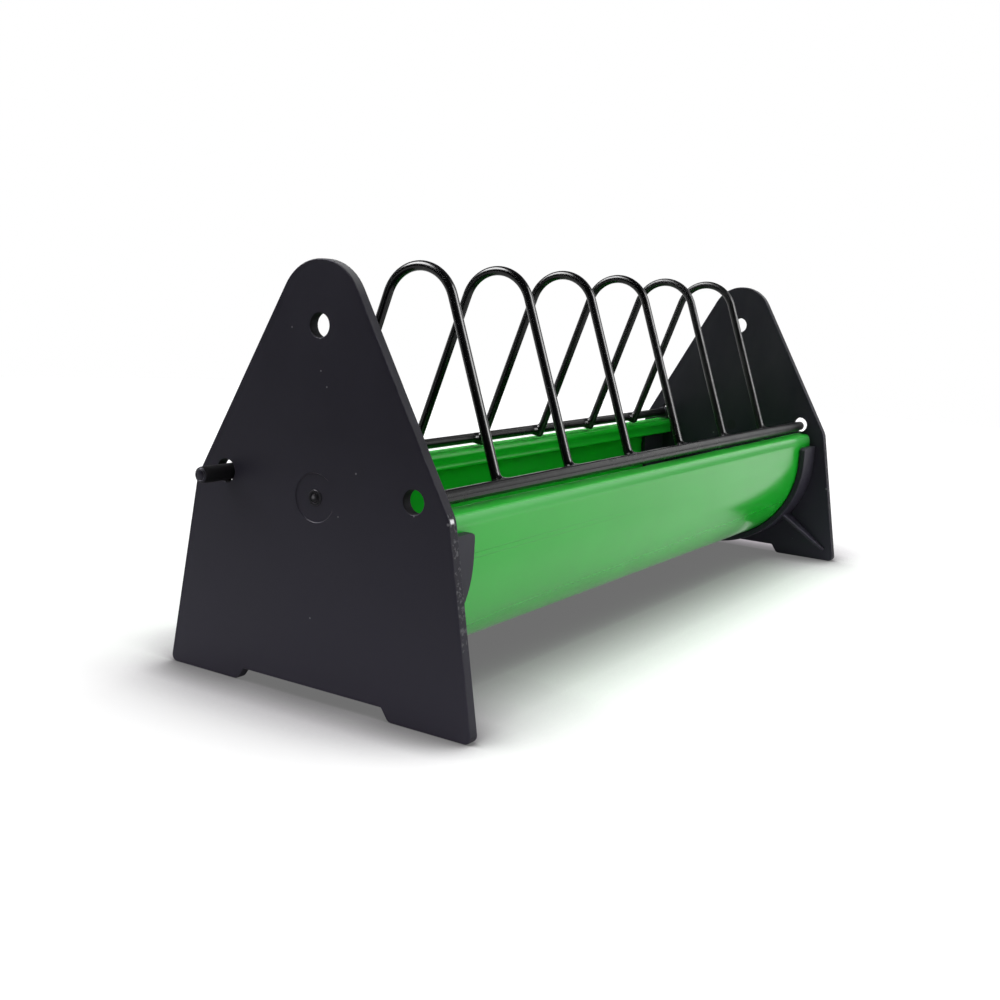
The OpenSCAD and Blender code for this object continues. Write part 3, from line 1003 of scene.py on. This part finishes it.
studio = {
    "floorR": 0.9,
    "floorSides": 96,
    "floorTone": 0.9,
    "floorFill": 0.155,      # the floor's own light, which keeps the shadow under the trough grey
    "openFill": 0.13,        # and how much more there is in the open
    "openFrom": (0.8, 1.0),
    "bounce": 0.1,
    "backdrop": 1.0,         # the white wall behind, up to these sines of height
    "backdropTop": (0.13, 0.24),
    "behindFrom": (0.1, 0.3),
    "box": 1.6,              # the soft box in front and to the right
    "boxTop": (0.5, 0.75),
    "horizon": (0.02, 0.12),
    "low": 0.3,              # below the soft box to the right, and in front
    "lowFront": 0.7,
    "lowFrom": (-0.40, -0.50),
    "above": 0.12,
    "room": 1.15,            # what gloss shows in front, up to these sines of height
    "roomTop": (0.4, 0.62),
    "roomNear": 0.72,        # and from this share up, over these cosines of the heading
    "roomFrom": (0.8, 0.96),
    "lamps": [               # and two lamps in it: heading and height in degrees, half widths and strength
        (-70.0, 30.0, (22.0, 14.0), 14.0),
        (124.0, 46.0, (24.0, 12.0), 22.0),
    ],
    "dark": 0.05,            # the dark side, over these cosines of the heading from +X
    "darkFrom": (-0.75, -0.1),
    "sunPower": 2.15,
    "sunAngle": 62.0,
    "shadowReach": 0.055,
    "shadowPower": 1.25,
    "contactReach": 0.03,
    "contactPower": 0.8,
    "edgeReach": 0.015,
    "edgePower": 2.2,
    "glossFrom": (-0.1, 0.5),    # the floor that gloss shows is lighter towards the far end
    "glossTone": (0.8, 1.3),
    "shadowFrom": (-0.32, -0.30, 0.90),
    "shadowInGloss": 0.1,
    "lessGreen": 0.82,       # takes out some of what the trough throws on the floor under it
    "greenFrom": (0.2, 1.0),
}

# the photograph's camera, from the real sizes of the plates, holes and rails in it
cameraView = {
    "place": (-0.40282, -0.21671, 0.11736),
    "turn": 31.938,          # degrees, from +X towards +Y
    "tilt": -9.983,
    "roll": 3.132,
    "lens": 44.52,
}


class Light(Nodes):
    # for the world and the floor

    def __init__(self, owner):
        owner.use_nodes = True
        super().__init__(owner.node_tree)
        self.tree.nodes.clear()

    def ramp(self, value, low, high, toLow, toHigh):
        node = self.add("ShaderNodeMapRange", value, low, high, toLow, toHigh,
                        interpolation_type="SMOOTHSTEP")
        return node.outputs[0]

    def mix(self, factor, a, b):
        return self.add("ShaderNodeMix", factor, None, a, b).outputs[0]


white = (1, 1, 1, 1)


def makeFloor():
    bm = bmesh.new()
    bmesh.ops.create_circle(bm, cap_ends=True, segments=studio["floorSides"], radius=studio["floorR"])
    mesh = bpy.data.meshes.new("floor")
    bm.to_mesh(mesh)
    bm.free()
    material = bpy.data.materials.new("paleFloor")
    t = Light(material)
    # camera, gloss and glass see the floor darkened by what stands close to it; it lights the object plain
    path = t.add("ShaderNodeLightPath").outputs
    toCamera, gloss = path["Is Camera Ray"], path["Is Glossy Ray"]
    seen = t.math("ADD", toCamera, t.math("MULTIPLY", gloss, studio["shadowInGloss"]))
    seen = t.math("ADD", seen, path["Is Transmission Ray"], True)
    lean = t.add("ShaderNodeCombineXYZ", *studio["shadowFrom"]).outputs[0]
    close = t.add("ShaderNodeAmbientOcclusion", white, studio["shadowReach"], lean).outputs["AO"]
    touch = t.add("ShaderNodeAmbientOcclusion", white, studio["contactReach"]).outputs["AO"]
    edge = t.add("ShaderNodeAmbientOcclusion", white, studio["edgeReach"]).outputs["AO"]
    shade = t.math("POWER", close, studio["shadowPower"])
    shade = t.math("MULTIPLY", shade, t.math("POWER", touch, studio["contactPower"]))
    shade = t.math("MULTIPLY", shade, t.math("POWER", edge, studio["edgePower"]))
    shade = t.math("MULTIPLY", t.mix(seen, 1.0, shade), studio["floorTone"])
    place = t.add("ShaderNodeTexCoord").outputs["Object"]
    along = t.add("ShaderNodeSeparateXYZ", place).outputs["X"]
    along = t.ramp(along, *studio["glossFrom"], *studio["glossTone"])
    shade = t.mix(gloss, shade, t.math("MULTIPLY", shade, along))
    green = t.math("MULTIPLY", shade, t.ramp(close, *studio["greenFrom"], studio["lessGreen"], 1.0))
    tone = t.add("ShaderNodeCombineXYZ", shade, green, shade).outputs[0]
    shown = t.add("ShaderNodeBsdfDiffuse", tone).outputs[0]
    # a little light of its own keeps the shadow grey for the camera
    fill = studio["floorFill"]
    own = t.ramp(close, *studio["openFrom"], fill, fill + studio["openFill"])
    own = t.mix(toCamera, studio["bounce"], own)
    glow = t.add("ShaderNodeEmission", white, own).outputs[0]
    both = t.add("ShaderNodeAddShader", shown, glow).outputs[0]
    t.add("ShaderNodeOutputMaterial", both)
    floor = addObject("floor", mesh, material)


def makeWorld():
    # white to the camera and through glass; the object is lit by a white backdrop behind and a soft box
    # in front and to the right, with a dark side towards -X, and its gloss shows the backdrop too, but
    # a dimmer room in front, and the lamps
    world = bpy.data.worlds.new("studio")
    scene.world = world
    t = Light(world)
    heading = t.add("ShaderNodeTexCoord").outputs["Generated"]
    x, y, z = t.add("ShaderNodeSeparateXYZ", heading).outputs
    flat = t.math("SQRT", t.math("ADD", t.math("MULTIPLY", x, x), t.math("MULTIPLY", y, y)))
    flat = t.math("MAXIMUM", flat, 0.001)
    right = t.math("DIVIDE", x, flat)
    behind = t.ramp(t.math("DIVIDE", y, flat), *studio["behindFrom"], 0.0, 1.0)
    backdrop = t.ramp(z, *studio["backdropTop"], studio["backdrop"], studio["above"])
    box = t.ramp(z, *studio["boxTop"], studio["box"], studio["above"])
    low = t.ramp(t.math("DIVIDE", y, flat), *studio["lowFrom"], studio["low"], studio["lowFront"])
    low = t.math("MULTIPLY", low, t.ramp(z, *studio["horizon"], 1.0, 0.0))
    box = t.math("MAXIMUM", t.math("MULTIPLY", box, t.ramp(z, *studio["horizon"], 0.0, 1.0)), low)
    room = t.ramp(z, *studio["roomTop"], studio["room"], studio["above"])
    room = t.math("MULTIPLY", room, t.ramp(right, *studio["roomFrom"], studio["roomNear"], 1.0))
    room = t.math("MAXIMUM", t.math("MULTIPLY", room, t.ramp(z, *studio["horizon"], 0.0, 1.0)), low)
    path = t.add("ShaderNodeLightPath").outputs
    gloss = path["Is Glossy Ray"]
    level = t.mix(behind, t.mix(gloss, box, room), backdrop)
    light = t.math("MULTIPLY", level, t.ramp(right, *studio["darkFrom"], studio["dark"], 1.0))
    for turn, height, wide, strength in studio["lamps"]:
        turn, height = math.radians(turn), math.radians(height)
        middle = (math.cos(height) * math.cos(turn), math.cos(height) * math.sin(turn), math.sin(height))
        near = t.add("ShaderNodeVectorMath", heading, middle, operation="DOT_PRODUCT").outputs["Value"]
        lamp = t.ramp(near, *[math.cos(math.radians(a)) for a in wide], 0.0, strength)
        light = t.math("ADD", light, t.math("MULTIPLY", lamp, gloss))
    light = t.add("ShaderNodeBackground", white, light).outputs[0]
    plain = t.add("ShaderNodeBackground", white, 1.0).outputs[0]
    seen = t.math("ADD", path["Is Camera Ray"], path["Is Transmission Ray"], True)
    mixed = t.add("ShaderNodeMixShader", seen, light, plain).outputs[0]
    t.add("ShaderNodeOutputWorld", mixed)


def makeLamps():
    # a wide soft light from straight above
    lamp = bpy.data.lights.new("topLight", "SUN")
    lamp.energy = studio["sunPower"]
    lamp.angle = math.radians(studio["sunAngle"])
    holder = bpy.data.objects.new("topLight", lamp)
    holder.location = (0, 0, 1)
    holder.visible_glossy = False    # gloss shows the world's lamps instead
    scene.collection.objects.link(holder)


def makeCamera(c):
    yaw, tilt, roll = (math.radians(c[k]) for k in ("turn", "tilt", "roll"))
    ahead = Vector((math.cos(yaw) * math.cos(tilt), math.sin(yaw) * math.cos(tilt), math.sin(tilt)))
    right = Vector((math.sin(yaw), -math.cos(yaw), 0))
    up = right.cross(ahead)
    x = right * math.cos(roll) + up * math.sin(roll)
    y = up * math.cos(roll) - right * math.sin(roll)
    data = bpy.data.cameras.new("camera")
    data.lens = c["lens"]
    data.clip_start = 0.01
    camera = bpy.data.objects.new("camera", data)
    camera.matrix_world = Matrix((x, y, -ahead)).transposed().to_4x4()
    camera.location = c["place"]
    scene.collection.objects.link(camera)
    scene.camera = camera


makeFloor()
makeWorld()
makeLamps()
makeCamera(cameraView)
scene.view_settings.view_transform = "Standard"
print("studio made")
